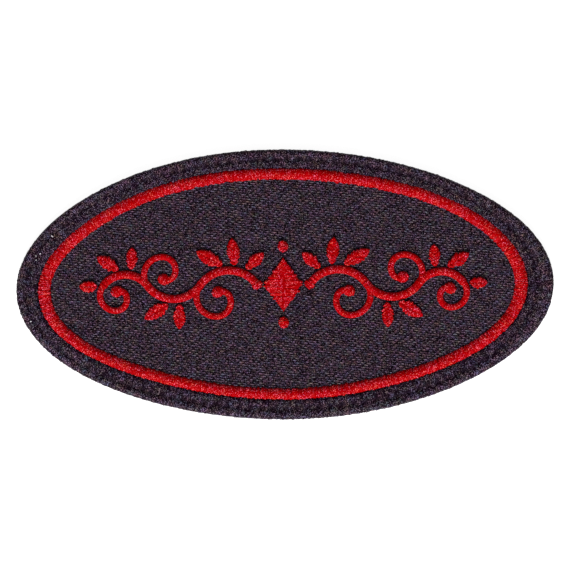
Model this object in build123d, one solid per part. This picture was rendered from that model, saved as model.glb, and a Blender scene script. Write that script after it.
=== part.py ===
from build123d import *
import math
import os

# An oval embroidered iron-on patch, lying flat with its stitched face up.
# Lengths are in mm. X runs along the oval, Z is up, and the underside lies on Z = 0.

# The oval, seen from above
patch_length = 101.6
patch_width = 50.8

# The stitched border: two rows of thread side by side, the outer one wrapped round the rim
border_at_ends = 4.33
border_at_sides = 3.5
outer_row_at_ends = 2.2
outer_row_at_sides = 1.8
outer_row_rise = 0.8
inner_row_rise = 0.65
row_overlap = 0.2
row_round = 0.5
rim_round = 0.9
heel_round = 0.3
rim_thread = 0.9
under_lap = 2.6

# The satin ring, and how far the stitching lies to the left of the cut edge
ring_at_ends = 2.45
ring_at_sides = 2.1
ring_rise = 0.7
ring_round = 0.55
stitch_drift = 0.2

# The cloth, and the film under it
ground_thickness = 1.0
film_thickness = 0.2

# Clearances
rim_gap = 0.05
film_gap = 0.1
ring_gap = 0.1
leaf_gap = 0.3
lozenge_gap = 0.8
dot_gap = 1.2

# The satin columns of the ornament
stem_width = 1.5
curl_width = 1.15
curl_end = 2.1
lozenge_length = 6.8
lozenge_width = 10.0
dot_size = 2.0
stem_rise = 0.62
curl_rise = 0.54
knot_rise = 0.66
leaf_rise = 0.58
column_edge = 0.3
column_round = 0.22
rib_width = 0.3
rib_depth = 0.15

# The vine reaches these shares of the field inside the ring, along it and across it
vine_reach = 0.88
crest_reach = 0.14

# Each half of the vine is a row of bends that swing up and down in turn.
# pitch: the bend's chord, as a share of the vine's run
# curl: first radius of the curl that springs from its end, as a share of the bend's radius
bends = [
    {"pitch": 0.37, "curl": 0.56},
    {"pitch": 0.34, "curl": 0.56},
    {"pitch": 0.29, "curl": 0.56},
]

# A curl tightens in turns. radius: share of its first radius, turn: degrees
curl_turns = [
    {"radius": 1.0, "turn": 130},
    {"radius": 0.72, "turn": 110},
    {"radius": 0.45, "turn": 90},
]

# The leaves. bend: which bend carries it, along: where on that bend, as a share of it,
# lean: degrees from the bend's own line, length and width: shares of the crest's height
leaves = [
    {"bend": 0, "along": 0.26, "lean": 112, "length": 1.65, "width": 0.66},
    {"bend": 0, "along": 0.42, "lean": 76, "length": 1.90, "width": 0.74},
    {"bend": 0, "along": 0.58, "lean": 38, "length": 2.05, "width": 0.78},
    {"bend": 1, "along": 0.42, "lean": 80, "length": 1.75, "width": 0.70},
    {"bend": 1, "along": 0.58, "lean": 40, "length": 1.95, "width": 0.76},
    {"bend": 2, "along": 0.40, "lean": 82, "length": 1.55, "width": 0.66},
    {"bend": 2, "along": 0.60, "lean": 42, "length": 1.75, "width": 0.72},
]
tip_leaf = {"length": 1.25, "width": 0.66}

# Levels
ground_top = film_thickness + ground_thickness
outer_row_top = ground_top + outer_row_rise
inner_row_top = ground_top + inner_row_rise
ring_top = ground_top + ring_rise


def inset(oval, at_ends, at_sides):
    """The half length and half width of an oval drawn inside another."""
    return oval[0] - at_ends, oval[1] - at_sides


# Ovals, from the rim inwards
edge = (patch_length / 2, patch_width / 2)
row_line = inset(edge, outer_row_at_ends, outer_row_at_sides)
border_inside = inset(edge, border_at_ends, border_at_sides)
ring_outside = inset(border_inside, ring_gap, ring_gap)
field = inset(ring_outside, ring_at_ends, ring_at_sides)
ground_edge = inset(edge, rim_thread, rim_thread)
slot_edge = inset(ground_edge, -rim_gap, -rim_gap)
under_window = inset(edge, under_lap, under_lap)
film_edge = inset(under_window, film_gap, film_gap)


def oval_block(oval, bottom, top, centre=0):
    return Pos(centre, 0, bottom) * extrude(Ellipse(oval[0], oval[1]), top - bottom)


def level_edges(shape, level):
    """The edges that lie flat at one height."""
    return shape.edges().filter_by_position(Axis.Z, level, level)


def twill_ground():
    return oval_block(ground_edge, film_thickness, ground_top)


def heat_seal_backing():
    return oval_block(film_edge, 0, film_thickness)


def satin_ring():
    ring = oval_block(ring_outside, ground_top, ring_top)
    ring -= oval_block(field, ground_top, ring_top)
    ring = fillet(level_edges(ring, ring_top), ring_round)
    return Pos(-stitch_drift, 0, 0) * ring


def stitched_border():
    between = -stitch_drift / 2
    outer = oval_block(edge, 0, outer_row_top)
    outer = fillet(level_edges(outer, outer_row_top), rim_round)
    outer = fillet(level_edges(outer, 0), heel_round)
    outer -= oval_block(row_line, ground_top, outer_row_top, between)
    # the inner edge of the outer row is the shorter of the two at the top
    crown = level_edges(outer, outer_row_top).sort_by(Edge.length)[0]
    outer = fillet(crown, row_round)

    overlapped = inset(row_line, -row_overlap, -row_overlap)
    inner = oval_block(overlapped, ground_top, inner_row_top, between)
    inner -= oval_block(border_inside, ground_top, inner_row_top, -stitch_drift)
    inner = fillet(level_edges(inner, inner_row_top), row_round)

    border = outer + inner
    border -= oval_block(slot_edge, film_thickness, ground_top)
    border -= oval_block(under_window, 0, film_thickness)
    return border


def column_section(width, rise, offset):
    """A satin column cut across: flat underneath, low sides, a crowned top."""
    half = width / 2
    crown = ThreePointArc((offset - half, column_edge), (offset, rise),
                          (offset + half, column_edge))
    sides = Polyline((offset + half, column_edge), (offset + half, 0),
                     (offset - half, 0), (offset - half, column_edge))
    return make_face(Plane.XZ * (crown + sides))


def knot(size):
    """A round crowned knot of thread, as wide as its size."""
    whole = column_section(size, knot_rise, 0)
    half = split(whole, bisect_by=Plane.YZ)
    return revolve(half, Axis.Z)


def bend(start, heading, radius, turn, width, rise):
    """A column along an arc, a left turn positive. Gives it, and where and how it ends."""
    side = math.copysign(1, turn)
    to_start = math.radians(heading - side * 90)
    centre = Vector(start.X - radius * math.cos(to_start), start.Y - radius * math.sin(to_start))
    first = heading - side * 90 + min(turn, 0)
    section = column_section(width, rise, radius)
    column = revolve(section, Axis.Z, revolution_arc=abs(turn))
    column = Pos(centre.X, centre.Y, 0) * Rot(0, 0, first) * column
    to_end = to_start + math.radians(turn)
    end = Vector(centre.X + radius * math.cos(to_end), centre.Y + radius * math.sin(to_end))
    return column, end, heading + turn


def curl(start, heading, radius, side):
    """The columns of a curl that tightens, and the knot at its end."""
    columns = []
    for step in curl_turns:
        column, start, heading = bend(start, heading, radius * step["radius"],
                                      side * step["turn"], curl_width, curl_rise)
        columns.append(column)
    return columns + [Pos(start.X, start.Y, 0) * knot(curl_end)]


def leaf(length, width):
    """A leaf along +X from its base, in two halves that meet at a rib."""
    half = width / 2
    upper = ThreePointArc((0, 0), (length / 2, half), (length, 0))
    lower = ThreePointArc((length, 0), (length / 2, -half), (0, 0))
    block = extrude(make_face(upper + lower), leaf_rise)
    block = fillet(level_edges(block, leaf_rise), column_round)
    return block - rib(length)


def rib(length):
    """The groove where two rows of thread meet, along +X from the origin."""
    half = rib_width / 2
    notch = Polyline((-half, 0), (half, 0), (0, -rib_depth), (-half, 0))
    groove = extrude(make_face(Plane.YZ * notch), length)
    return Pos(0, 0, leaf_rise) * groove


def centre_lozenge():
    half_length, half_width = lozenge_length / 2, lozenge_width / 2
    corners = [(half_length, 0), (0, half_width), (-half_length, 0), (0, -half_width)]
    block = extrude(make_face(Polyline(*corners, corners[0])), leaf_rise)
    block = fillet(level_edges(block, leaf_rise), column_round)
    return block - Pos(0, -half_width, 0) * Rot(0, 0, 90) * rib(lozenge_width)


def vine_half():
    """The right half of the vine: one branching scroll, and its leaves."""
    crest = crest_reach * field[1]
    tip_length = tip_leaf["length"] * crest
    point = Vector(lozenge_length / 2 + lozenge_gap + stem_width / 2, 0)
    tip_base = stem_width / 2 + leaf_gap
    run = vine_reach * field[0] - point.X - tip_base - tip_length
    swing = 2 * math.degrees(math.atan(2 * crest / (run * bends[0]["pitch"])))

    columns = [Pos(point.X, point.Y, 0) * knot(stem_width)]
    foliage = []
    side = 1
    for number, row in enumerate(bends):
        radius = run * row["pitch"] / 2 / math.sin(math.radians(swing))
        start = point
        column, point, heading = bend(start, side * swing, radius, -2 * side * swing,
                                      stem_width, stem_rise)
        columns += [column] + curl(point, heading, radius * row["curl"], -side)
        middle = (start + point) / 2
        for mark in leaves:
            if mark["bend"] == number:
                slope = side * swing * (1 - 2 * mark["along"])
                outward = math.radians(slope + side * 90)
                stand_off = radius + stem_width / 2 + leaf_gap
                drop = side * radius * math.cos(math.radians(swing))
                base = Vector(middle.X + stand_off * math.cos(outward),
                              middle.Y - drop + stand_off * math.sin(outward))
                blade = leaf(mark["length"] * crest, mark["width"] * crest)
                foliage.append(Pos(base.X, base.Y, 0) * Rot(0, 0, slope + side * mark["lean"]) * blade)
        side = -side
    blade = leaf(tip_length, tip_leaf["width"] * crest)
    foliage.append(Pos(point.X + tip_base, 0, 0) * blade)
    scroll = columns[0].fuse(*columns[1:])
    return scroll, foliage


def ornament():
    """Every stitched piece of the ornament by name, standing on Z = 0 about its centre."""
    pieces = {"centre_lozenge": centre_lozenge()}
    dot_at = lozenge_width / 2 + dot_gap + dot_size / 2
    pieces["dot_upper"] = Pos(0, dot_at, 0) * knot(dot_size)
    pieces["dot_lower"] = Pos(0, -dot_at, 0) * knot(dot_size)
    scroll, foliage = vine_half()
    pieces["scroll_right"] = scroll
    pieces["scroll_left"] = mirror(scroll, about=Plane.YZ)
    for number, blade in enumerate(foliage, 1):
        pieces[f"leaf_right_{number}"] = blade
        pieces[f"leaf_left_{number}"] = mirror(blade, about=Plane.YZ)
    return pieces


parts = {
    "heat_seal_backing": heat_seal_backing(),
    "twill_ground": twill_ground(),
    "stitched_border": stitched_border(),
    "satin_ring": satin_ring(),
}
for name, piece in ornament().items():
    parts[name] = Pos(-stitch_drift, 0, ground_top) * piece

os.makedirs("parts", exist_ok=True)
for name, piece in parts.items():
    export_step(piece.solid(), f"parts/{name}.step")
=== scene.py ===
import bpy
import math
import random
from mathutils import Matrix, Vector


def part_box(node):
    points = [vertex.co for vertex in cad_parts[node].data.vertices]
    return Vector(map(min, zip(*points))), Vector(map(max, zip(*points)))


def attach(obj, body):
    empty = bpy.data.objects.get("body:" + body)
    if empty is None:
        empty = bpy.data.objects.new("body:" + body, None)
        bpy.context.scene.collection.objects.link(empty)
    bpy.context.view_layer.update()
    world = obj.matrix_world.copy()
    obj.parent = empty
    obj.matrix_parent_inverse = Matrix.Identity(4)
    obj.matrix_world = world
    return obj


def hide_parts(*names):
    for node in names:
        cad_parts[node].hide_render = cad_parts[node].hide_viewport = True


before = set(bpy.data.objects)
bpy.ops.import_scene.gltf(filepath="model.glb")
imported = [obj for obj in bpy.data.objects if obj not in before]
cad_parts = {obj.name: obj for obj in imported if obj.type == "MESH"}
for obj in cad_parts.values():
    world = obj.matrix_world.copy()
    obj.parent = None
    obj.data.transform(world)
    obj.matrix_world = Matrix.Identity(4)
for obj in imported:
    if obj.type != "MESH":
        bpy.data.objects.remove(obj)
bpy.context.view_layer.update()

# The view. The patch lies face up, about half a degree askew, under a copying camera that looks
# straight down. The pale table glows, so that it comes out white. One soft lamp stands beyond
# the lower edge of the picture, and the room adds an even light.
MM = 0.001
picture_px = 570
oval_length_px = 535.8
oval_centre_px = (284.4, 284.4)
oval_turn = math.radians(-0.6)
camera_height = 600 * MM
sensor_width = 36.0
nearest_seen = 10 * MM
furthest_seen = 5.0
table_size = 3.0
table_drop = 0.02 * MM
table_grey = (0.5, 0.5, 0.5, 1)
table_roughness = 0.9
table_light = 0.88
lamp_place = (-0.09, -1.22, 1.02)
lamp_size = 0.45
lamp_power = 32.7
room_light = 0.26
white = (1, 1, 1, 1)


def half_size(node):
    """Half the length and half the width of a piece of the frame."""
    low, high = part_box(node)
    return (high.x - low.x) / 2, (high.y - low.y) / 2


rim = half_size("stitched_border")
pixel = 2 * rim[0] / oval_length_px
aim = ((picture_px / 2 - oval_centre_px[0]) * pixel, (oval_centre_px[1] - picture_px / 2) * pixel)

bpy.ops.object.select_all(action="DESELECT")
bpy.ops.object.camera_add(location=(aim[0], aim[1], camera_height), rotation=(0, 0, oval_turn))
camera = bpy.context.object
camera.name = "copying_camera"
camera.data.sensor_width = sensor_width
camera.data.lens = camera_height * sensor_width / (picture_px * pixel)
camera.data.clip_start = nearest_seen
camera.data.clip_end = furthest_seen
bpy.context.scene.camera = camera
bpy.context.scene.view_settings.view_transform = "Standard"

bpy.ops.mesh.primitive_plane_add(size=table_size, location=(0, 0, -table_drop))
table = bpy.context.object
table.name = "pale_table"
table_paint = bpy.data.materials.new("pale_table")
table_paint.use_nodes = True
paint = table_paint.node_tree.nodes["Principled BSDF"]
paint.inputs["Roughness"].default_value = table_roughness
paint.inputs["Base Color"].default_value = table_grey
paint.inputs["Emission Color"].default_value = white
paint.inputs["Emission Strength"].default_value = table_light
table.data.materials.append(table_paint)

bpy.ops.object.light_add(type="AREA", location=lamp_place)
lamp = bpy.context.object
lamp.name = "low_front_lamp"
lamp.data.size = lamp_size
lamp.data.energy = lamp_power
lamp.rotation_euler = (-Vector(lamp_place)).to_track_quat("-Z", "Y").to_euler()
room = bpy.data.worlds.new("pale_room")
room.use_nodes = True
room.node_tree.nodes["Background"].inputs["Color"].default_value = white
room.node_tree.nodes["Background"].inputs["Strength"].default_value = room_light
bpy.context.scene.world = room

# The twill ground. The real piece is a disc of dark polyester twill with stabiliser behind it.
# Its weft floats over the warp in short dashes, each row half a step along from the last. The
# floats are made as far as the satin ring, which hides the rest.
oval_corners = 288
smooth_below = math.radians(50)
warp_depth = 0.06 * MM
weave_inset = (1.6 * MM, 1.3 * MM)
float_step = Vector((1.19, -0.13)) * MM
row_step = Vector((-0.574, -0.38)) * MM
float_length = 0.98 * MM
float_thickness = 0.17 * MM
float_width = 0.25 * MM
float_line = [(-1.0, -0.16), (-0.62, 0.06), (0, 0.08), (0.62, 0.06), (1.0, -0.16)]
twill_shades = [(0.004, 0.0002, 0.003), (0.078, 0.0465, 0.076), (0.186, 0.143, 0.184)]

# How uneven the weft is. The floats stray in mm, turn in radians and differ in size along,
# across and up. The higher the evenness, the more alike their shades are. The threads of the
# later sections are uneven in the same ways.
weft_stray = (0.06, 0.03)
weft_turns = (0.15, 0.06, 0.06)
weft_sizes = [(0.8, 1.08), (0.8, 1.1), (0.6, 1.3)]
weft_evenness = 7.0

# The look that all the yarns share. Distances along a lay are in mm.
merge_within = 0.002 * MM
# A border thread's crest gets a painted highlight: how far along it reaches and how much paler.
crest_light_reach = 0.6 * MM
crest_light_gain = 0.17
hole_shade_until = 0.8
hole_shade_ends_at = 1.8
hole_shade_loss = -0.6
middle_shade_at = 0.6
own_pattern = 71.0
fibre_scale = 5700.0
fibre_relief = 0.08 * MM
twist_scale = 0.8
twist_wobble = 1.5
twist_relief = 0.025 * MM
blotch_scale = 850.0
blotch_detail = 2.0

ground_oval = half_size("twill_ground")
ground_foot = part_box("twill_ground")[0].z
ground_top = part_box("twill_ground")[1].z
ring_oval = half_size("satin_ring")
drift = sum(corner.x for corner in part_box("satin_ring")) / 2


def only(thing):
    """Selects this and nothing else."""
    bpy.ops.object.select_all(action="DESELECT")
    thing.select_set(True)
    bpy.context.view_layer.objects.active = thing


def extruded_ovals(name, section, ring):
    """A closed shell, extruded oval by oval: (half length, half width, height) for each.
    A ring joins its last oval to its first, and any other shell gets a face at each end."""
    bpy.ops.object.select_all(action="DESELECT")
    bpy.ops.mesh.primitive_circle_add(vertices=oval_corners, radius=1.0)
    shell = bpy.context.object
    shell.name = name
    bpy.ops.object.mode_set(mode="EDIT")
    bpy.ops.mesh.select_all(action="SELECT")
    before = (1.0, 1.0, 0.0)
    for number, oval in enumerate(section):
        if number:
            bpy.ops.mesh.extrude_region()
        bpy.ops.transform.resize(value=(oval[0] / before[0], oval[1] / before[1], 1),
                                 center_override=(0, 0, 0))
        bpy.ops.transform.translate(value=(0, 0, oval[2] - before[2]))
        before = oval
    if ring:
        bpy.ops.mesh.select_all(action="DESELECT")
        bpy.ops.mesh.select_non_manifold()
        bpy.ops.mesh.bridge_edge_loops()
    else:
        bpy.ops.mesh.edge_face_add()
        bpy.ops.mesh.select_all(action="DESELECT")
        bpy.ops.mesh.select_non_manifold()
        bpy.ops.mesh.edge_face_add()
    bpy.ops.mesh.select_all(action="SELECT")
    bpy.ops.mesh.normals_make_consistent(inside=False)
    bpy.ops.object.mode_set(mode="OBJECT")
    bpy.ops.object.shade_smooth_by_angle(angle=smooth_below)
    return shell


def dress(piece, material):
    """Gives a piece its material and slot, and carries it with the patch."""
    piece.data.materials.clear()
    piece.data.materials.append(material)
    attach(piece, "root")


def smooth_path(name, points, thickness, sides, steps):
    """A smooth curve that a few points pull into shape, as thick as the yarn that it becomes."""
    bpy.ops.object.select_all(action="DESELECT")
    bpy.ops.curve.primitive_nurbs_path_add(location=(0, 0, 0))
    path = bpy.context.object
    path.name = name
    spline = path.data.splines[0]
    spline.points.add(len(points) - len(spline.points))
    for point, place in zip(spline.points, points):
        point.co = (*place, 1)
    spline.order_u = 3
    spline.resolution_u = steps
    path.data.bevel_depth = thickness / 2
    path.data.bevel_resolution = sides
    return path


def bent_thread(name, line, thickness, width, sides=1, steps=1, end=(0, 0), crest=None):
    """One thread as a closed tube along a line in the XZ plane. Its lay is measured from end.
    The crest is where along X the thread is painted paler, a painted highlight on its highest part."""
    path = smooth_path(name, [(x, 0, z) for x, z in line], thickness, sides, steps)
    path.data.splines[0].use_endpoint_u = True
    path.data.use_fill_caps = True
    bpy.ops.object.convert(target="MESH")
    thread = bpy.context.object
    bpy.ops.object.mode_set(mode="EDIT")
    bpy.ops.mesh.select_all(action="SELECT")
    bpy.ops.mesh.remove_doubles(threshold=merge_within)
    bpy.ops.transform.resize(value=(1, width / thickness, 1), center_override=(0, 0, 0))
    bpy.ops.mesh.normals_make_consistent(inside=False)
    bpy.ops.object.mode_set(mode="OBJECT")
    bpy.ops.object.shade_smooth()
    corners = [corner.co for corner in thread.data.vertices]
    origin = Vector((end[0], 0, end[1]))
    lay = thread.data.attributes.new("lay", "FLOAT_VECTOR", "POINT")
    lay.data.foreach_set("vector", [length / MM for corner in corners for length in corner - origin])
    if crest is not None:
        crest_light = thread.data.attributes.new("crest_light", "FLOAT", "POINT")
        fading = [max(0, 1 - abs(corner.x - crest) / crest_light_reach) for corner in corners]
        crest_light.data.foreach_set("value", fading)
    return thread


def sewing_nodes():
    """Geometry nodes that copy a thread to every spot of a pattern, as one real mesh."""
    tree = bpy.data.node_groups.new("sewing", "GeometryNodeTree")
    tree.interface.new_socket("Spots", in_out="INPUT", socket_type="NodeSocketGeometry")
    tree.interface.new_socket("Thread", in_out="INPUT", socket_type="NodeSocketObject")
    tree.interface.new_socket("Sewn", in_out="OUTPUT", socket_type="NodeSocketGeometry")
    nodes, links = tree.nodes, tree.links
    start = nodes.new("NodeGroupInput")
    end = nodes.new("NodeGroupOutput")
    thread = nodes.new("GeometryNodeObjectInfo")
    links.new(start.outputs["Thread"], thread.inputs["Object"])
    copies = nodes.new("GeometryNodeInstanceOnPoints")
    links.new(start.outputs["Spots"], copies.inputs["Points"])
    links.new(thread.outputs["Geometry"], copies.inputs["Instance"])
    for label, socket in (("turn", "Rotation"), ("size", "Scale")):
        read = nodes.new("GeometryNodeInputNamedAttribute")
        read.data_type = "FLOAT_VECTOR"
        read.inputs["Name"].default_value = label
        links.new(read.outputs["Attribute"], copies.inputs[socket])
    real = nodes.new("GeometryNodeRealizeInstances")
    links.new(copies.outputs["Instances"], real.inputs["Geometry"])
    links.new(real.outputs["Geometry"], end.inputs["Sewn"])
    return tree


sewing = sewing_nodes()


def sew(name, thread, spots, material, hole_shades=()):
    """Copies a thread to each spot (place, turn, size, tint) and gives the joined piece.
    The pulls, one for each spot, say how hard its thread is pulled down, and so how much painted shade it
    gets near the end of its lay."""
    mesh = bpy.data.meshes.new(name)
    mesh.from_pydata([spot[0] for spot in spots], [], [])
    for label, column in (("turn", 1), ("size", 2)):
        values = [number for spot in spots for number in spot[column]]
        mesh.attributes.new(label, "FLOAT_VECTOR", "POINT").data.foreach_set("vector", values)
    tints = [spot[3] for spot in spots]
    mesh.attributes.new("tint", "FLOAT", "POINT").data.foreach_set("value", tints)
    if hole_shades:
        mesh.attributes.new("pull_and_hole_shade", "FLOAT", "POINT").data.foreach_set("value", hole_shades)
    piece = bpy.data.objects.new(name, mesh)
    bpy.context.scene.collection.objects.link(piece)
    only(piece)
    modifier = piece.modifiers.new("sewing", "NODES")
    modifier.node_group = sewing
    modifier[sewing.interface.items_tree["Thread"].identifier] = thread
    bpy.ops.object.modifier_apply(modifier=modifier.name)
    only(thread)
    bpy.ops.object.delete()
    for label in ("turn", "size"):
        piece.data.attributes.remove(piece.data.attributes[label])
    dress(piece, material)
    return piece


def yarn(name, shades, middle, contrast, hue_drift, gloss, gloss_tint, roughness):
    """Spun yarn. Each length has a shade of its own, broken up by its fibres and its twist.
    A pulled stitch gets painted shade near the end that its lay is measured from, as in a needle hole,
    and a crest gets a painted highlight. A piece with no tint of its own takes the darker shades.
    The shades run from dark to pale, and the palest are painted glints of fibres catching the light.
    The fibres differ by the contrast, about the middle."""
    material = bpy.data.materials.new(name)
    material.use_nodes = True
    nodes, links = material.node_tree.nodes, material.node_tree.links
    shader = nodes["Principled BSDF"]
    shader.inputs["Roughness"].default_value = roughness
    shader.inputs["Specular IOR Level"].default_value = gloss
    shader.inputs["Specular Tint"].default_value = (*gloss_tint, 1)

    def read(label, output):
        """What the piece says of itself in an attribute."""
        node = nodes.new("ShaderNodeAttribute")
        node.attribute_name = label
        return node.outputs[output]

    def work_out(operation, *values):
        """The result of a sum on numbers and on what other nodes give."""
        node = nodes.new("ShaderNodeMath")
        node.operation = operation
        for socket, value in zip(node.inputs, values):
            if isinstance(value, bpy.types.NodeSocket):
                links.new(value, socket)
            else:
                socket.default_value = value
        return node.outputs[0]

    place = nodes.new("ShaderNodeTexCoord").outputs["Object"]
    tint = read("tint", "Fac")
    lay = read("lay", "Vector")
    own = work_out("MULTIPLY", tint, own_pattern)
    fibres = nodes.new("ShaderNodeTexNoise")
    fibres.noise_dimensions = "4D"
    fibres.inputs["Scale"].default_value = fibre_scale
    fibres.inputs["Detail"].default_value = 0.0
    links.new(place, fibres.inputs["Vector"])
    links.new(own, fibres.inputs["W"])
    spread = nodes.new("ShaderNodeMapRange")
    spread.inputs["From Min"].default_value = middle - 0.5 / contrast
    spread.inputs["From Max"].default_value = middle + 0.5 / contrast
    spread.inputs["To Min"].default_value = -0.5
    spread.inputs["To Max"].default_value = 0.5
    links.new(fibres.outputs["Fac"], spread.inputs["Value"])

    along_lay = nodes.new("ShaderNodeVectorMath")
    along_lay.operation = "LENGTH"
    links.new(lay, along_lay.inputs[0])
    # Painted shade near the groove end of a pulled stitch, as in a needle hole
    hole_shade = nodes.new("ShaderNodeMapRange")
    hole_shade.interpolation_type = "SMOOTHSTEP"
    hole_shade.inputs["From Min"].default_value = hole_shade_until
    hole_shade.inputs["From Max"].default_value = hole_shade_ends_at
    hole_shade.inputs["To Min"].default_value = hole_shade_loss
    hole_shade.inputs["To Max"].default_value = 0.0
    links.new(along_lay.outputs["Value"], hole_shade.inputs["Value"])
    shade = work_out("ADD", spread.outputs["Result"], tint)
    shade = work_out("MULTIPLY_ADD", hole_shade.outputs["Result"], read("pull_and_hole_shade", "Fac"), shade)
    # Painted highlight on the crest of a thread
    shade = work_out("MULTIPLY_ADD", read("crest_light", "Fac"), crest_light_gain, shade)
    ramp = nodes.new("ShaderNodeValToRGB")
    ramp.color_ramp.elements[0].color = (*shades[0], 1)
    ramp.color_ramp.elements[1].color = (*shades[2], 1)
    ramp.color_ramp.elements.new(middle_shade_at).color = (*shades[1], 1)
    links.new(shade, ramp.inputs["Fac"])

    blotches = nodes.new("ShaderNodeTexNoise")
    blotches.inputs["Scale"].default_value = blotch_scale
    blotches.inputs["Detail"].default_value = blotch_detail
    links.new(place, blotches.inputs["Vector"])
    hues = nodes.new("ShaderNodeVectorMath")
    hues.operation = "MULTIPLY_ADD"
    hues.inputs[1].default_value = hue_drift
    hues.inputs[2].default_value = [1 - amount / 2 for amount in hue_drift]
    links.new(blotches.outputs["Color"], hues.inputs[0])
    dye = nodes.new("ShaderNodeMix")
    dye.data_type = "RGBA"
    dye.blend_type = "MULTIPLY"
    dye.inputs["Factor"].default_value = 1.0
    links.new(ramp.outputs["Color"], dye.inputs["A"])
    links.new(hues.outputs["Vector"], dye.inputs["B"])
    links.new(dye.outputs["Result"], shader.inputs["Base Color"])

    twist = nodes.new("ShaderNodeTexWave")
    twist.bands_direction = "DIAGONAL"
    twist.inputs["Scale"].default_value = twist_scale
    twist.inputs["Distortion"].default_value = twist_wobble
    links.new(lay, twist.inputs["Vector"])
    links.new(own, twist.inputs["Phase Offset"])
    ply = nodes.new("ShaderNodeBump")
    ply.inputs["Distance"].default_value = twist_relief
    links.new(twist.outputs["Fac"], ply.inputs["Height"])
    nap = nodes.new("ShaderNodeBump")
    nap.inputs["Distance"].default_value = fibre_relief
    links.new(fibres.outputs["Fac"], nap.inputs["Height"])
    links.new(ply.outputs["Normal"], nap.inputs["Normal"])
    links.new(nap.outputs["Normal"], shader.inputs["Normal"])
    return material


def uneven(sizes):
    """A size along, across and up, each drawn between its two limits."""
    return [random.uniform(low, high) for low, high in sizes]


def any_tint(evenness):
    """A tint from 0 to 1, mostly near the middle."""
    return random.betavariate(evenness, evenness)


random.seed(41)
twill_yarn = yarn("twill_yarn", twill_shades, middle=0.5, contrast=9.4, hue_drift=(1.5, 0.7, 1.4),
                  gloss=0.05, gloss_tint=(1, 1, 1), roughness=0.5)
# The warp cloth has no tint of its own, so it takes the darker shades: painted shade in the gaps between the
# floats.
cloth = extruded_ovals("twill_cloth", [(*ground_oval, ground_top - warp_depth), (*ground_oval, ground_foot)],
                       ring=False)
dress(cloth, twill_yarn)
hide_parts("twill_ground")

weave_oval = (ring_oval[0] - weave_inset[0], ring_oval[1] - weave_inset[1])
weft_angle = math.atan2(float_step.y, float_step.x)
rows = round(2 * rim[1] / abs(row_step.y))
spots = []
for row in range(-rows, rows + 1):
    for step in range(-rows, rows + 1):
        place = float_step * step + row_step * row
        if math.hypot(place.x / weave_oval[0], place.y / weave_oval[1]) <= 1:
            x = place.x + drift + random.gauss(0, weft_stray[0]) * MM
            y = place.y + random.gauss(0, weft_stray[1]) * MM
            roll, dip, veer = [random.gauss(0, spread) for spread in weft_turns]
            turn = (roll, dip, weft_angle + veer)
            spots.append(((x, y, ground_top), turn, uneven(weft_sizes), any_tint(weft_evenness)))
weft_float = bent_thread("weft_float", [(x * float_length / 2, z * MM) for x, z in float_line],
                         float_thickness, float_width, sides=0)
weft = sew("twill_weft", weft_float, spots, twill_yarn)

# The satin ring. The real one is a closed column of red rayon thread, sewn to and fro over
# padding, so that it stands up from the twill. Each thread lies across the column.
ring_at_ends = 2.45 * MM
ring_at_sides = 2.10 * MM
ring_inset = 0.08 * MM
ring_spread = 0.21 * MM
ring_pitch = 0.37 * MM
ring_span = 2.2 * MM
ring_outset = 0.01
ring_jitter = (0.03, 0.08)
ring_roll = 0.05
ring_veer = 0.04
ring_sizes = [(0.95, 1.03), (1.0, 1.2), (0.97, 1.01)]
ring_evenness = 30.0
ring_waves = [(1, 0.056, 122), (2, 0.13, 116), (3, 0.21, -101), (4, 0.22, 49), (5, 0.16, -112)]
thread_thickness = 0.22 * MM
thread_width = 0.56 * MM
stitch_foot = -0.15 * MM
walk_count = 6000
# The palest red is a painted glint, where fibres catch the light
red_shades_and_glints = [(0.36, 0.0, 0.001), (0.57, 0.0003, 0.009), (1.0, 0.155, 0.205)]

# The section of the padding, in shares of the ring's width and rise. Then the slope of a thread
# over it, from its edge to its crown, in shares of half its span and of its rise.
ring_mound = [(0.22, 0.0), (0.26, 0.26), (0.36, 0.48), (0.50, 0.60), (0.64, 0.48), (0.74, 0.26), (0.78, 0.0)]
ring_slope = [(1.0, 0.10), (0.88, 0.34), (0.6, 0.70), (0.3, 0.94)]
crown = 1.03

ring_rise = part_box("satin_ring")[1].z - ground_top


def oval_steps(oval, pitch):
    """Even steps round an oval: each place, which way is out, and its angle round the oval."""
    angles = [2 * math.pi * number / walk_count for number in range(walk_count + 1)]
    points = [(oval[0] * math.cos(angle), oval[1] * math.sin(angle)) for angle in angles]
    walked = [0.0]
    for before, after in zip(points, points[1:]):
        walked.append(walked[-1] + math.dist(before, after))
    count = round(walked[-1] / pitch)
    steps = []
    at = 0
    for number in range(count):
        while walked[at + 1] < walked[-1] * number / count:
            at += 1
        x, y = points[at]
        steps.append((Vector((x, y)), math.atan2(y / oval[1] ** 2, x / oval[0] ** 2), angles[at]))
    return steps


def blend(at_ends, at_sides, angle):
    """A width that changes smoothly from the ends of an oval to its sides."""
    return at_ends * math.cos(angle) ** 2 + at_sides * math.sin(angle) ** 2


def stray(waves, angle):
    """How far a hand-guided seam strays outwards from its oval at one angle round it.
    Each wave is its count round the oval, its size in mm and its lag in degrees."""
    return sum(size * math.cos(count * angle - math.radians(lag)) for count, size, lag in waves) * MM


def arch(span, rise, slope):
    """The line of a thread that crowns over a column as wide as span, the same on both sides."""
    half = span / 2
    over = [(-x, z) for x, z in slope] + [(0, crown)] + [(x, z) for x, z in reversed(slope)]
    return [(-half, stitch_foot)] + [(half * x, rise * z) for x, z in over] + [(half, stitch_foot)]


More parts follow.
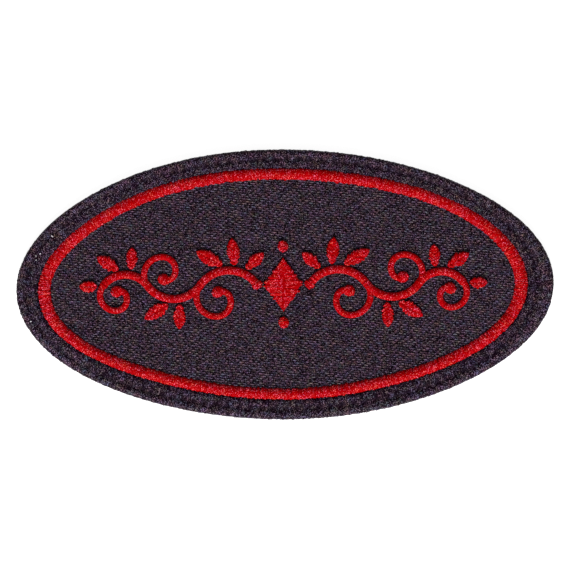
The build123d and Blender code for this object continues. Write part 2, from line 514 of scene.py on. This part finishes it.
random.seed(42)
red_rayon = yarn("red_rayon", red_shades_and_glints, middle=0.643, contrast=9.6, hue_drift=(0.5, 0.7, 2.4),
                 gloss=0.20, gloss_tint=(1.0, 0.06, 0.08), roughness=0.40)
section = [(ring_oval[0] - ring_at_ends * across, ring_oval[1] - ring_at_sides * across,
            ground_top + ring_rise * up) for across, up in ring_mound]
ring_padding = extruded_ovals("ring_padding", section, ring=True)
only(ring_padding)
bpy.ops.transform.translate(value=(drift, 0, 0))
bpy.ops.object.transform_apply(location=True, rotation=False, scale=False)
# The padding has no tint of its own, so it takes the darker reds: painted shade between the threads.
dress(ring_padding, red_rayon)
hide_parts("satin_ring")

ring_middle = (ring_oval[0] - ring_at_ends / 2 - ring_inset, ring_oval[1] - ring_at_sides / 2 - ring_inset)
spots = []
for place, outward, angle in oval_steps(ring_middle, ring_pitch):
    width = blend(ring_at_ends, ring_at_sides, angle) + ring_spread
    shift = stray(ring_waves, angle) + random.gauss(ring_outset, blend(*ring_jitter, angle)) * MM
    x = place.x + drift + shift * math.cos(outward)
    y = place.y + shift * math.sin(outward)
    turn = (random.gauss(0, ring_roll), 0, outward + random.gauss(0, ring_veer))
    along, across, up = uneven(ring_sizes)
    size = (width / ring_span * along, across, up)
    spots.append(((x, y, ground_top), turn, size, any_tint(ring_evenness)))
line = arch(ring_span - thread_thickness, ring_rise - thread_thickness / 2, ring_slope)
ring_thread = bent_thread("ring_thread", line, thread_thickness, thread_width)
sew("ring_threads", ring_thread, spots, red_rayon)

# The ornament. Scrolls, leaves, a lozenge and dots are sewn on to the twill in the same red
# thread. Each is a satin column of its own, with its threads laid across it. In the leaves and
# the lozenge they run out to both sides from a rib.
stem_width = 1.5 * MM
stem_rise = 0.62 * MM
curl_width = 1.15 * MM
curl_rise = 0.54 * MM
curl_end = 2.1 * MM
dot_size = 2.0 * MM
dot_tilt = 0.3
knot_rise = 0.66 * MM
leaf_gap = 0.3 * MM
proud = 0.06 * MM
column_slope = [(1.0, 0.32), (0.9, 0.60), (0.6, 0.84), (0.3, 0.98)]
stitch_pitch = 0.36 * MM
stitch_slant = 0.15
stitch_veer = 0.07
stitch_sizes = [(0.97, 1.02), (0.82, 1.08), (0.9, 1.05)]
stitch_evenness = 12.0
leaf_slant = math.radians(42)
leaf_filled = 0.93
first_stitch = 0.35
leaf_walk = 0.02 * MM
facet_line = [(0.0, 0.62), (0.05, 0.90), (0.25, 1.0), (0.55, 1.03), (0.85, 0.98), (1.0, 0.80), (1.05, 0.30)]
facet_end = 1.06 * MM
vine_reach = 0.88
crest_reach = 0.14

# Each half of the vine is a row of bends that swing up and down in turn, and a curl springs
# from the end of each. A pitch is a share of the vine's run, a curl and its turns are shares
# of a radius, and a leaf's length and width are shares of the crest. Angles are in degrees.
bends = [{"pitch": 0.37, "curl": 0.56}, {"pitch": 0.34, "curl": 0.56}, {"pitch": 0.29, "curl": 0.56}]
curl_turns = [{"radius": 1.0, "turn": 130}, {"radius": 0.72, "turn": 110}, {"radius": 0.45, "turn": 90}]
leaves = [
    {"bend": 0, "along": 0.26, "lean": 112, "length": 1.65, "width": 0.66},
    {"bend": 0, "along": 0.42, "lean": 76, "length": 1.90, "width": 0.74},
    {"bend": 0, "along": 0.58, "lean": 38, "length": 2.05, "width": 0.78},
    {"bend": 1, "along": 0.42, "lean": 80, "length": 1.75, "width": 0.70},
    {"bend": 1, "along": 0.58, "lean": 40, "length": 1.95, "width": 0.76},
    {"bend": 2, "along": 0.40, "lean": 82, "length": 1.55, "width": 0.66},
    {"bend": 2, "along": 0.60, "lean": 42, "length": 1.75, "width": 0.72},
]
tip_leaf = {"length": 1.25, "width": 0.66}

lozenge = half_size("centre_lozenge")
leaf_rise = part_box("centre_lozenge")[1].z - ground_top
dot_at = sum(corner.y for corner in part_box("dot_upper")) / 2
vine_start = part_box("scroll_right")[0].x - drift + stem_width / 2
crest = crest_reach * (ring_oval[1] - ring_at_sides)
tip_length = tip_leaf["length"] * crest
run = vine_reach * (ring_oval[0] - ring_at_ends) - vine_start - stem_width / 2 - leaf_gap - tip_length
swing = 2 * math.atan(2 * crest / (run * bends[0]["pitch"]))

# The solids of the ornament stay, as the padding that shows between its threads. With no tint of their own
# they take the darker reds, as painted shade between the threads.
for name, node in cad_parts.items():
    if name.startswith(("scroll", "leaf", "dot", "centre")):
        node.data.materials.clear()
        node.data.materials.append(red_rayon)


def toward(angle):
    """A step of one in the direction of an angle."""
    return Vector((math.cos(angle), math.sin(angle)))


def column_thread(width, rise):
    """A thread that crowns over a column, from cloth to cloth."""
    line = arch(width - thread_thickness + 2 * proud, rise - thread_thickness / 2 + proud, column_slope)
    return bent_thread("column_thread", line, thread_thickness, thread_width)


def facet_thread():
    """A thread that rises out of a rib and goes down at the edge, 1 mm long."""
    line = [(x * MM, z * leaf_rise) for x, z in facet_line] + [(facet_end, stitch_foot)]
    return bent_thread("facet_thread", line, thread_thickness, thread_width)


def loose(place, angle, reach):
    """A spot for a thread in a column, each a little off from the next."""
    angle += random.gauss(0, stitch_veer)
    along, across, up = uneven(stitch_sizes)
    return (place.x, place.y), angle, (reach * along, across, up), any_tint(stitch_evenness)


def across_bend(start, heading, radius, turn, slant):
    """Spots for the threads across an arc, and where and how the arc ends."""
    first = heading - math.copysign(1, turn) * math.pi / 2
    centre = start - radius * toward(first)
    count = max(2, round(abs(turn) * radius / stitch_pitch))
    spots = []
    for number in range(count):
        angle = first + turn * (number + 0.5) / count
        spots.append(loose(centre + radius * toward(angle), angle + slant, 1.0))
    return spots, centre + radius * toward(first + turn), heading + turn


def across_knot(place, size, tilt):
    """Spots for the threads across a round knot, each as long as the chord that it covers."""
    spots = []
    count = round(size / stitch_pitch)
    for number in range(count):
        off = size * ((number + 0.5) / count - 0.5)
        chord = math.sqrt(1 - (2 * off / size) ** 2)
        spots.append(loose(place + off * toward(tilt + math.pi / 2), tilt, chord))
    return spots


def across_leaf(base, heading, length, width):
    """Spots for the two rows of slanting threads that fill a leaf from its rib."""
    bow = (length ** 2 + width ** 2) / (4 * width)
    count = int(length * math.sin(leaf_slant) / stitch_pitch)
    spots = []
    for side in (1, -1):
        for number in range(count):
            foot = length * leaf_filled * (number + first_stitch) / count
            reach = 0.0
            inside = True
            while inside:
                reach += leaf_walk
                along = foot + reach * math.cos(leaf_slant)
                edge = math.sqrt(max(0, bow ** 2 - (along - length / 2) ** 2)) - bow + width / 2
                inside = along < length and reach * math.sin(leaf_slant) < edge
            spots.append(loose(base + foot * toward(heading), heading + side * leaf_slant, reach / MM))
    return spots


def across_lozenge():
    """Spots for the threads that fill the lozenge, out to both sides from its rib."""
    count = round(2 * lozenge[1] / stitch_pitch)
    spots = []
    for number in range(count):
        y = lozenge[1] * (2 * (number + 0.5) / count - 1)
        reach = lozenge[0] * (1 - abs(y) / lozenge[1])
        for side in (0, math.pi):
            spots.append(loose(Vector((0, y)), side, reach / MM))
    return spots


def vine_half():
    """Spots for the stem, the curls and the knots of the right half of the vine, and its
    leaves: (base, heading, length, width) for each."""
    point = Vector((vine_start, 0))
    stem = []
    curls = []
    knots = across_knot(point, stem_width, swing + math.pi / 2)
    blades = []
    side = 1
    for number, row in enumerate(bends):
        radius = run * row["pitch"] / 2 / math.sin(swing)
        start = point
        threads, point, heading = across_bend(start, side * swing, radius, -2 * side * swing,
                                              side * stitch_slant)
        stem += threads
        tip = point
        for step in curl_turns:
            threads, tip, heading = across_bend(tip, heading, radius * row["curl"] * step["radius"],
                                                -side * math.radians(step["turn"]), -side * stitch_slant)
            curls += threads
        knots += across_knot(tip, curl_end, heading + math.pi / 2)
        centre = Vector(((start.x + point.x) / 2, -side * radius * math.cos(swing)))
        for mark in leaves:
            if mark["bend"] == number:
                slope = side * swing * (1 - 2 * mark["along"])
                stand_off = radius + stem_width / 2 + leaf_gap
                base = centre + stand_off * toward(slope + side * math.pi / 2)
                lean = slope + side * math.radians(mark["lean"])
                blades.append((base, lean, mark["length"] * crest, mark["width"] * crest))
        side = -side
    base = point + Vector((stem_width / 2 + leaf_gap, 0))
    blades.append((base, 0, tip_length, tip_leaf["width"] * crest))
    return stem, curls, knots, blades


def sew_red(name, thread, spots, mirrored=False):
    """Sews spots of the right half in their place, or mirrored to the left half."""
    placed = []
    for (x, y), angle, size, tint in spots:
        if mirrored:
            x = -x
            angle = math.pi - angle
        placed.append(((x + drift, y, ground_top), (0, 0, angle), size, tint))
    sew(name, thread, placed, red_rayon)


random.seed(43)
for hand, mirrored in (("right", False), ("left", True)):
    stem, curls, knots, blades = vine_half()
    sew_red(f"scroll_{hand}_stem_threads", column_thread(stem_width, stem_rise), stem, mirrored)
    sew_red(f"scroll_{hand}_curl_threads", column_thread(curl_width, curl_rise), curls, mirrored)
    sew_red(f"scroll_{hand}_knot_threads", column_thread(curl_end, knot_rise), knots, mirrored)
    for number, blade in enumerate(blades, 1):
        sew_red(f"leaf_{hand}_{number}_threads", facet_thread(), across_leaf(*blade), mirrored)
sew_red("lozenge_threads", facet_thread(), across_lozenge())
for name, y in (("upper", dot_at), ("lower", -dot_at)):
    sew_red(f"dot_{name}_threads", column_thread(dot_size, knot_rise),
            across_knot(Vector((0, y)), dot_size, dot_tilt))

# The stitched border. The real one is two rows of dark polyester thread. The inner row lies
# on the twill, the outer row is overlocked round the rim and back underneath, and the needle
# thread goes down between the two and pulls them together.
border_at_ends = 4.33 * MM
border_at_sides = 3.50 * MM
outer_at_ends = 2.37 * MM
outer_at_sides = 1.70 * MM
border_pitch = 0.38 * MM
border_thread_width = 0.60 * MM
border_evenness = 45.0
rim_waves = [(1, 0.13, -78), (2, 0.06, 156), (3, 0.19, -59), (4, 0.18, 40), (5, 0.05, -76)]
groove_waves = [(1, 0.46, -151), (2, 0.05, 90), (3, 0.205, -132), (4, 0.085, 106)]
# The palest of these is a painted glint, where fibres catch the light
dark_shades_and_glints = [(0.006, 0.001, 0.0052), (0.022, 0.0105, 0.0215), (0.195, 0.141, 0.192)]

# The section of the padding under both rows, in mm inwards from the rim and up from the table.
# At the sides it is narrower, as the border is.
border_section = [(1.2, 0.30), (0.6, 0.30), (0.5, 0.9), (0.6, 1.40), (0.9, 1.52), (1.55, 1.28), (1.9, 1.22),
                  (2.3, 1.25), (2.9, 1.32), (3.4, 1.30), (3.7, 1.2), (1.2, 1.2)]

# The needle holes in the groove between the rows, and how they pull at the stitches. Near a hole the
# stitches get painted shade, and between holes a little painted light, on the row whose groove flank faces
# the lamp.
hole_pitch_at_ends = 0.85 * MM
hole_pitch_at_sides = 2.2 * MM
hole_walk = 0.05 * MM
hole_reach = 0.9 * MM
bunching_and_paling = 0.1
bite_at_ends = 0.15

# The outer row. Its threads go over the rim, and from there others go on to the underside. Both
# lines are in mm, outwards from the rim and up from the table.
wrap_line = [(-2.45, 1.30), (-2.1, 1.36), (-1.7, 1.50), (-1.35, 1.74), (-1.0, 1.88), (-0.6, 1.86),
             (-0.15, 1.66), (-0.06, 1.15), (-0.10, 0.7)]
wrap_span = 1.7 * MM
wrap_crest = -0.78 * MM
wrap_shift = (-0.05, 0.03)
wrap_lean = (0.25, 0.03)
wrap_sizes = [(0.96, 1.04), (0.95, 1.15), (0.98, 1.0)]
wrap_tuck = 0.06
wrap_shade = -0.10
under_line = [(-0.08, 1.1), (-0.08, 0.7), (-0.12, 0.35), (-0.3, 0.11), (-1.4, 0.11), (-2.6, 0.11)]
under_lengths = (0.96, 1.0)
under_breadth = 1.05
under_evenness = 30.0
edge_thickness = 0.5 * MM
edge_pitch = 1.5 * MM
edge_inset = 0.30 * MM
edge_height = 0.9 * MM

# The inner row. The line of its threads is in mm, outwards from its middle and up from the twill.
inner_line = [(-1.24, 0.20), (-1.12, 0.37), (-0.8, 0.44), (-0.4, 0.46), (0.1, 0.48), (0.55, 0.43),
              (0.85, 0.32), (1.15, 0.20), (1.5, 0.05)]
inner_span = 2.0 * MM
inner_crest = 0.05 * MM
inner_stray = 0.09
inner_lean = (-0.15, 0.04)
inner_roll = 0.05
inner_sizes = [(0.95, 1.02), (0.9, 1.15), (0.97, 1.02)]
inner_tuck = 0.15
inner_shade = -0.15
inner_drift = 0.75

# The lock stitches of the needle thread. The line is in mm, the dip and the bridge are tints. The dark dip
# stitches are painted shadow in the needle holes.
lock_line = [(-0.32, -0.12), (-0.2, 0.07), (0, 0.12), (0.2, 0.07), (0.32, -0.12)]
lock_thickness = 0.20 * MM
lock_width = 0.34 * MM
lock_stray = 0.05
lock_heights = (0.33 * MM, 0.37 * MM)
lock_veer = 0.5
lock_lengths = (0.6, 1.1)
lock_breadths = (0.8, 1.2)
lock_hole_shadow = (-0.4, 0.1)
lock_bridge = (0.3, 0.7)

random.seed(44)
dark_polyester = yarn("dark_polyester", dark_shades_and_glints, middle=0.572, contrast=8.2, hue_drift=(1.5, 0.7, 1.5),
                      gloss=0.06, gloss_tint=(1, 0.8, 1), roughness=0.45)
share = border_at_sides / border_at_ends
section = [(rim[0] - inward * MM, rim[1] - inward * share * MM, up * MM) for inward, up in border_section]
padding = extruded_ovals("border_padding", section, ring=True)
# The padding has no tint of its own, so it takes the darker shades: painted shade between the threads.
dress(padding, dark_polyester)
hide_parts("stitched_border")

groove = (rim[0] - outer_at_ends, rim[1] - outer_at_sides)
holes = []
walked = 0.0
for place, outward, angle in oval_steps(groove, hole_walk):
    pitch = hole_pitch_at_ends + (hole_pitch_at_sides - hole_pitch_at_ends) * abs(math.sin(angle))
    walked += hole_walk / pitch
    if walked >= 1.0:
        walked -= 1.0
        holes.append(place + toward(outward) * stray(groove_waves, angle))


def pulled_and_shaded(place):
    """How hard the needle thread pulls a border stitch down at one place, and so how much painted shade it
    gets. It is less than nothing between two needle holes, where the stitches bunch up and are painted a
    little paler."""
    return max(0.0, 1 - min((place - hole).length for hole in holes) / hole_reach) - bunching_and_paling


def bite_on_lit_flank(angle, side):
    """How deep the needle thread bites into the outer row (side 1) or the inner one (side -1), and so where
    the holes' painted shade goes.
    Along the top it bites into the outer row, along the bottom into the inner row: the row whose groove
    flank faces the lamp."""
    return max(bite_at_ends * abs(math.cos(angle)), side * math.sin(angle), 0.0)


def scaled(line):
    """A line given in mm, in metres."""
    return [(x * MM, z * MM) for x, z in line]


line = scaled(wrap_line)
wrap = bent_thread("rim_thread", line, thread_thickness, border_thread_width, end=line[0], crest=wrap_crest)
under = bent_thread("under_thread", scaled(under_line), thread_thickness, border_thread_width)
spots = []
hole_shades = []
under_spots = []
for place, outward, angle in oval_steps(rim, border_pitch):
    at_rim = stray(rim_waves, angle)
    width = blend(outer_at_ends, outer_at_sides, angle) + at_rim - stray(groove_waves, angle)
    shift = at_rim + random.gauss(*wrap_shift) * MM
    lean = outward + random.gauss(*wrap_lean)
    place = place + toward(outward) * shift
    pull_and_hole_shade = pulled_and_shaded(place - toward(lean) * width) * bite_on_lit_flank(angle, 1)
    along, across, up = uneven(wrap_sizes)
    size = (width / wrap_span * (1 - wrap_tuck * pull_and_hole_shade) * along, across, up)
    tint = any_tint(border_evenness) + wrap_shade
    spots.append(((place.x, place.y, 0), (0, 0, lean), size, tint))
    hole_shades.append(pull_and_hole_shade)
    size = (random.uniform(*under_lengths), under_breadth, 1.0)
    under_spots.append(((place.x, place.y, 0), (0, 0, lean), size, any_tint(under_evenness)))
sew("border_outer_row", wrap, spots, dark_polyester, hole_shades)
sew("border_under_row", under, under_spots, dark_polyester)

# Under the wrapped stitches, more of the same thread lies bunched along the cut edge.
points = []
for place, outward, angle in oval_steps(rim, edge_pitch):
    place = place - toward(outward) * (edge_inset - stray(rim_waves, angle))
    points.append((place.x, place.y, edge_height))
bunch = smooth_path("border_edge_cord", points, edge_thickness, sides=1, steps=3)
bunch.data.splines[0].use_endpoint_u = False
bunch.data.splines[0].use_cyclic_u = True
bpy.ops.object.convert(target="MESH")
bpy.ops.object.shade_smooth()
dress(bpy.context.object, dark_polyester)

inner_at_ends = border_at_ends - outer_at_ends
inner_at_sides = border_at_sides - outer_at_sides
inner_middle = (groove[0] - inner_at_ends / 2, groove[1] - inner_at_sides / 2)
line = scaled(inner_line)
inner_thread = bent_thread("inner_thread", line, thread_thickness, border_thread_width, end=line[-1],
                           crest=inner_crest)
spots = []
hole_shades = []
for place, outward, angle in oval_steps(inner_middle, border_pitch):
    at_groove = stray(groove_waves, angle)
    at_ring = stray(ring_waves, angle)
    width = blend(inner_at_ends, inner_at_sides, angle) + at_groove - at_ring
    lean = outward + random.gauss(*inner_lean)
    place = place + toward(outward) * ((at_groove + at_ring) / 2 + random.gauss(0, inner_stray) * MM)
    place.x += drift * inner_drift
    pull_and_hole_shade = pulled_and_shaded(place + toward(lean) * width / 2) * bite_on_lit_flank(angle, -1)
    turn = (random.gauss(0, inner_roll), 0, lean)
    along, across, up = uneven(inner_sizes)
    size = (width / inner_span * along, across, up * (1 - inner_tuck * pull_and_hole_shade))
    tint = any_tint(border_evenness) + inner_shade
    spots.append(((place.x, place.y, ground_top), turn, size, tint))
    hole_shades.append(pull_and_hole_shade)
sew("border_inner_row", inner_thread, spots, dark_polyester, hole_shades)

# In the groove a dark stitch lies in each hole as painted shadow, and a paler lock stitch bridges to the
# next.
lock_stitch = bent_thread("lock_stitch", scaled(lock_line), lock_thickness, lock_width, sides=0, steps=2)
spots = []
for here, there in zip(holes, holes[1:] + holes[:1]):
    facing = math.atan2(here.y / groove[1] ** 2, here.x / groove[0] ** 2)
    # The dip's tint is dark: painted shadow in the needle hole
    dip = random.uniform(*lock_hole_shadow)
    bridge = random.uniform(*lock_bridge)
    for place, tint in ((here, dip), ((here + there) / 2, bridge)):
        x = place.x + drift / 2 + random.gauss(0, lock_stray) * MM
        y = place.y + random.gauss(0, lock_stray) * MM
        z = ground_top + random.uniform(*lock_heights)
        turn = (0, 0, facing + random.gauss(0, lock_veer))
        size = (random.uniform(*lock_lengths), random.uniform(*lock_breadths), 1.0)
        spots.append(((x, y, z), turn, size, tint))
sew("border_lock_stitches", lock_stitch, spots, dark_polyester)

# Lint. Five short white fibres of cotton fluff have caught on the stitches at the left of the
# border. They are not sewn: they lie on top of the thread.
lint_line = [(-0.5, 0), (-0.3, 0.12), (0, 0.05), (0.3, 0.14), (0.5, 0)]
lint_thickness = 0.09 * MM
lint_width = 0.18 * MM
lint_sunk = 0.03 * MM
lint_roll = 0.3
lint_shades = [(0.70, 0.67, 0.70), (0.88, 0.85, 0.88), (0.95, 0.94, 0.95)]
lint = [
    {"x": -43.8, "y": 9.6, "turn": -35, "length": 0.55},
    {"x": -46.1, "y": 6.3, "turn": 20, "length": 0.3},
    {"x": -46.9, "y": 5.9, "turn": 95, "length": 0.25},
    {"x": -46.9, "y": 5.1, "turn": 80, "length": 0.2},
    {"x": -48.0, "y": -6.5, "turn": 15, "length": 0.3},
]

lint_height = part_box("stitched_border")[1].z - lint_sunk
lint_fluff = yarn("lint_fluff", lint_shades, middle=0.5, contrast=2.0, hue_drift=(0.2, 0.2, 0.2),
                  gloss=0.1, gloss_tint=(1, 1, 1), roughness=0.8)
fibre = bent_thread("lint_fibre", scaled(lint_line), lint_thickness, lint_width, sides=0, steps=3)
spots = [((mark["x"] * MM, mark["y"] * MM, lint_height), (lint_roll, 0, math.radians(mark["turn"])),
          (mark["length"], 1.0, 1.0), 0.5) for mark in lint]
sew("border_lint", fibre, spots, lint_fluff)

# The heat-seal film. The real one is a thin milky sheet of hot-melt resin, pressed on to the
# back inside the border. An iron melts it into the garment.
film_roughness = 0.35
cloud_scale = 180.0
cloudy = {"position": 0.35, "color": (0.36, 0.34, 0.36, 1)}
clear = {"position": 0.65, "color": (0.58, 0.57, 0.58, 1)}
print_scale = 420.0
print_wobble = 0.6
print_depth = 0.03 * MM


def hot_melt_film():
    """Milky resin, dimpled by the weave that it was pressed on to."""
    material = bpy.data.materials.new("hot_melt_film")
    material.use_nodes = True
    nodes, links = material.node_tree.nodes, material.node_tree.links
    shader = nodes["Principled BSDF"]
    shader.inputs["Roughness"].default_value = film_roughness
    place = nodes.new("ShaderNodeTexCoord")
    clouds = nodes.new("ShaderNodeTexNoise")
    clouds.inputs["Scale"].default_value = cloud_scale
    clouds.inputs["Detail"].default_value = 5.0
    links.new(place.outputs["Object"], clouds.inputs["Vector"])
    milk = nodes.new("ShaderNodeValToRGB")
    for element, look in zip(milk.color_ramp.elements, (cloudy, clear)):
        element.position = look["position"]
        element.color = look["color"]
    links.new(clouds.outputs["Fac"], milk.inputs["Fac"])
    links.new(milk.outputs["Color"], shader.inputs["Base Color"])
    weave = nodes.new("ShaderNodeTexWave")
    weave.bands_direction = "DIAGONAL"
    weave.inputs["Scale"].default_value = print_scale
    weave.inputs["Distortion"].default_value = print_wobble
    weave.inputs["Detail"].default_value = 2.0
    links.new(place.outputs["Object"], weave.inputs["Vector"])
    dimples = nodes.new("ShaderNodeBump")
    dimples.inputs["Distance"].default_value = print_depth
    links.new(weave.outputs["Fac"], dimples.inputs["Height"])
    links.new(dimples.outputs["Normal"], shader.inputs["Normal"])
    return material


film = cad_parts["heat_seal_backing"]
film.data.materials.clear()
film.data.materials.append(hot_melt_film())
